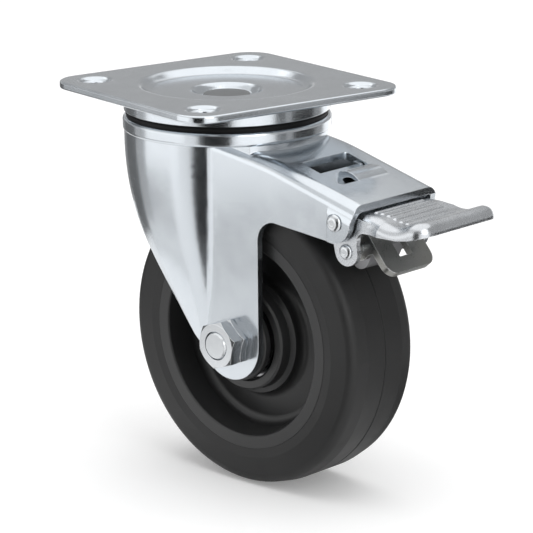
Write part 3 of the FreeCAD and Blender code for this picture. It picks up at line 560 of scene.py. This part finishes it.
# Boards round the castor: azimuth and half width in degrees, lower and upper edge, distance, grey.
CARDS = (
    ("lens_board", -59.0, 17.0, -0.162, 0.02, 0.30, 0.015),
    ("lens_upper_board", -60.0, 20.0, 0.02, 0.16, 0.32, 0.30),
    ("front_left_board", -118.0, 25.0, -0.138, 0.12, 0.62, 1.55),
    ("left_mid_board", -150.0, 8.0, -0.162, -0.02, 0.30, 0.55),
    ("left_low_board", -174.0, 16.0, -0.162, -0.01, 0.25, 0.17),
    ("left_board", -170.0, 19.0, -0.01, 0.28, 0.45, 0.48),
    ("front_right_board", -18.0, 19.0, -0.162, -0.02, 0.44, 1.45),
    ("right_grey_board", 11.5, 6.5, -0.162, -0.03, 0.42, 0.16),
    ("right_mid_board", 21.5, 4.5, -0.162, -0.03, 0.42, 0.50),
    ("right_dark_board", 43.0, 17.0, -0.162, -0.05, 0.40, 0.03),
    ("right_soft_board", 69.0, 9.0, -0.162, -0.05, 0.41, 0.35),
    ("right_upper_board", 50.0, 52.0, -0.03, 0.42, 0.45, 0.50),
    ("back_right_board", 98.0, 16.0, -0.162, -0.03, 0.44, 1.50),
    ("back_mid_board", 121.0, 7.0, -0.162, 0.02, 0.43, 0.60),
    ("back_bright_board", 140.0, 9.0, -0.162, -0.02, 0.43, 1.50),
    ("back_left_board", 163.0, 12.0, -0.162, 0.02, 0.40, 0.34),
    ("upper_back_board", 136.0, 33.0, 0.03, 0.255, 0.45, 0.47),
    ("upper_left_board", 168.0, 17.0, 0.20, 0.38, 0.46, 0.45),
)

# Boards on the floor: azimuth and half width in degrees, nearest and farthest edge, grey.
FLOOR_CARDS = (
    ("floor_lens_card", -60.0, 17.0, 0.06, 0.30, 0.10),
    ("floor_near_card", -138.0, 30.0, 0.05, 0.20, 1.30),
    ("floor_mid_card", -134.0, 30.0, 0.20, 0.33, 1.00),
    ("floor_far_card", -134.0, 30.0, 0.33, 0.54, 0.70),
    ("floor_back_card", -124.0, 31.0, 0.54, 0.66, 1.55),
    ("floor_right_card", 52.0, 24.0, 0.05, 0.24, 0.14),
)

# The ring-shaped board overhead: half width in degrees, inner and outer radius, height, grey.
CEILING = (180.0, 0.02, 0.60, 0.58, 1.5)


def ceiling_card(name, half_angle, inner, outer, height, grey):
    """A flat ring of board over the castor."""
    show_card(name, 0.0, half_angle, (inner, height), (outer, height), grey)


def aim_camera(stage):
    """Camera at the photograph's angle, distance and lean."""
    back = Vector((math.sin(stage.azimuth) * math.cos(stage.elevation),
                   -math.cos(stage.azimuth) * math.cos(stage.elevation),
                   math.sin(stage.elevation)))
    data = bpy.data.cameras.new("camera")
    data.sensor_width = 36.0
    data.lens = stage.focal
    data.clip_start = 0.05
    data.clip_end = 50.0
    camera = add_object("camera", data)
    camera.location = Vector(stage.aim) + back * stage.distance
    upright = (-back).to_track_quat("-Z", "Y")
    camera.rotation_mode = "QUATERNION"
    camera.rotation_quaternion = upright @ Quaternion((0.0, 0.0, 1.0), -stage.roll)
    bpy.context.scene.camera = camera


class CASTOR_OT_stage(bpy.types.Operator):
    """Set up the pale floor, the soft lamps, the boards and the camera"""
    bl_idname = "castor.stage"
    bl_label = "Stage"

    def execute(self, context):
        stage = context.scene.castor_stage
        context.scene.view_settings.view_transform = "Standard"
        light_world(stage.fill)
        pale_floor(stage)
        light_sky(stage)
        for lamp in LAMPS:
            light_area(*lamp)
        for card in CARDS:
            studio_card(*card)
        for card in FLOOR_CARDS:
            floor_card(*card)
        ceiling_card("ceiling_card", *CEILING)
        aim_camera(stage)
        return {"FINISHED"}


class CASTOR_OT_effects(bpy.types.Operator):
    """Build the surface effects that the finishes share"""
    bl_idname = "castor.effects"
    bl_label = "Surface Effects"

    def execute(self, context):
        make_clouds()
        make_scuffs()
        make_edge_wear()
        make_mould_grain()
        make_turned_rings()
        make_dust()
        return {"FINISHED"}


class CASTOR_OT_sheet_metal(bpy.types.Operator):
    """Finish the plate, the fork, the head's cups and the brake's leaf"""
    bl_idname = "castor.sheet_metal"
    bl_label = "Sheet Metal"

    def execute(self, context):
        finish = context.scene.castor_finish
        zinc = plated_metal("zinc_sheet", finish.zinc, finish.zinc_shade, rough=(0.13, 0.21))
        dress(SHEET_PARTS, zinc)
        return {"FINISHED"}


class CASTOR_OT_hardware(bpy.types.Operator):
    """Finish the bolt, the nuts and the rivets, and thread the kingpin"""
    bl_idname = "castor.hardware"
    bl_label = "Hardware"

    def execute(self, context):
        finish = context.scene.castor_finish
        detail = context.scene.castor_detail
        shade = darker(finish.hardware, 0.88)
        zinc = plated_metal("zinc_hardware", finish.hardware, shade, rough=(0.14, 0.22), wear=0.5)
        dress(HARDWARE_PARTS, zinc)
        dull = darker(finish.hardware, 0.34)
        dress(("kingpin",), plated_metal("pin_steel", dull, dull, rough=(0.30, 0.42), wear=0.2))
        pin_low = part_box("kingpin")[0].z
        nut_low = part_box("kingpin_nut")[0].z
        ridge = helix_ridge("kingpin_thread", detail.shank - detail.thread_depth,
                            detail.thread_pitch, detail.thread_depth + detail.thread_extra,
                            pin_low + detail.tip_gap, nut_low - detail.nut_gap,
                            detail.thread_steps)
        ridge.data.materials.append(zinc)
        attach(ridge, "plate")
        return {"FINISHED"}


class CASTOR_OT_brake(bpy.types.Operator):
    """Finish the pedal, the release lever and the brake shoe"""
    bl_idname = "castor.brake"
    bl_label = "Brake"

    def execute(self, context):
        finish = context.scene.castor_finish
        pedal = plated_metal("nickel_pedal", finish.pedal, darker(finish.pedal, 0.80),
                             rough=(0.20, 0.32), wear=0.7, stretch=(1.0, 0.05, 1.0), scuffs=0.8)
        dress(("brake_pedal",), pedal)
        lever = plated_metal("dark_lever", finish.lever, darker(finish.lever, 0.75),
                             rough=(0.24, 0.36), wear=0.8)
        dress(("release_lever",), lever)
        dress(("brake_shoe",), plain_metal("shoe_steel", finish.shoe, rough=(0.35, 0.5)))
        return {"FINISHED"}


class CASTOR_OT_wheel(bpy.types.Operator):
    """Finish the rubber tyre, the moulded centre, its bushes and the dust seal"""
    bl_idname = "castor.wheel"
    bl_label = "Wheel"

    def execute(self, context):
        finish = context.scene.castor_finish
        rubber = moulded_black("black_rubber", finish.rubber, rough=(0.46, 0.58),
                               relief=0.16, grain=2600.0, dust=0.05, level=0.38)
        dress(("tyre",), rubber)
        centre = moulded_black("dark_plastic", finish.plastic, rough=(0.36, 0.46),
                               relief=0.10, grain=3200.0, dust=0.04, rings=0.4)
        dress(("wheel_rim",), centre)
        bush = moulded_black("bush_plastic", darker(finish.plastic, 0.8), rough=(0.38, 0.5),
                             relief=0.10, grain=3200.0, dust=0.03)
        dress(("near_bush", "far_bush"), bush)
        seal = moulded_black("black_seal", finish.seal, rough=(0.48, 0.60),
                             relief=0.12, grain=3000.0, dust=0.0, level=0.2)
        dress(("dust_seal",), seal)
        return {"FINISHED"}


class CASTOR_OT_bearings(bpy.types.Operator):
    """Finish the balls, the races and the other plain steel inside"""
    bl_idname = "castor.bearings"
    bl_label = "Bearings"

    def execute(self, context):
        finish = context.scene.castor_finish
        dress(PLAIN_STEEL_PARTS, plain_metal("plain_steel", finish.steel, rough=(0.34, 0.46)))
        shade = darker(finish.polished, 0.9)
        bright = plated_metal("bearing_steel", finish.polished, shade, rough=(0.12, 0.20),
                              wear=0.1, relief=0.03)
        dress(POLISHED_PARTS, bright)
        return {"FINISHED"}


class CASTOR_PT_panel(bpy.types.Panel):
    """Lists the castor's pieces and their finishes"""
    bl_label = "Castor"
    bl_idname = "CASTOR_PT_panel"
    bl_space_type = "VIEW_3D"
    bl_region_type = "UI"
    bl_category = "Castor"

    def draw(self, context):
        layout = self.layout
        for step in STEPS:
            layout.operator(step.bl_idname)
        for group in ("castor_finish", "castor_detail", "castor_stage"):
            settings = getattr(context.scene, group)
            box = layout.box()
            for name in settings.bl_rna.properties.keys():
                if name not in ("rna_type", "name"):
                    box.prop(settings, name)


STEPS = (CASTOR_OT_effects, CASTOR_OT_sheet_metal, CASTOR_OT_hardware, CASTOR_OT_brake,
         CASTOR_OT_wheel, CASTOR_OT_bearings, CASTOR_OT_stage)
GROUPS = (("castor_finish", CastorFinish), ("castor_detail", CastorDetail),
          ("castor_stage", CastorStage))


def register():
    for name, group in GROUPS:
        bpy.utils.register_class(group)
        setattr(bpy.types.Scene, name, PointerProperty(type=group))
    for item in STEPS + (CASTOR_PT_panel,):
        bpy.utils.register_class(item)


def unregister():
    for item in reversed(STEPS + (CASTOR_PT_panel,)):
        bpy.utils.unregister_class(item)
    for name, group in reversed(GROUPS):
        delattr(bpy.types.Scene, name)
        bpy.utils.unregister_class(group)


def main():
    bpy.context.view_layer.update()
    register()
    for step in STEPS:
        group, name = step.bl_idname.split(".")
        getattr(getattr(bpy.ops, group), name)()


if __name__ == "__main__":
    main()
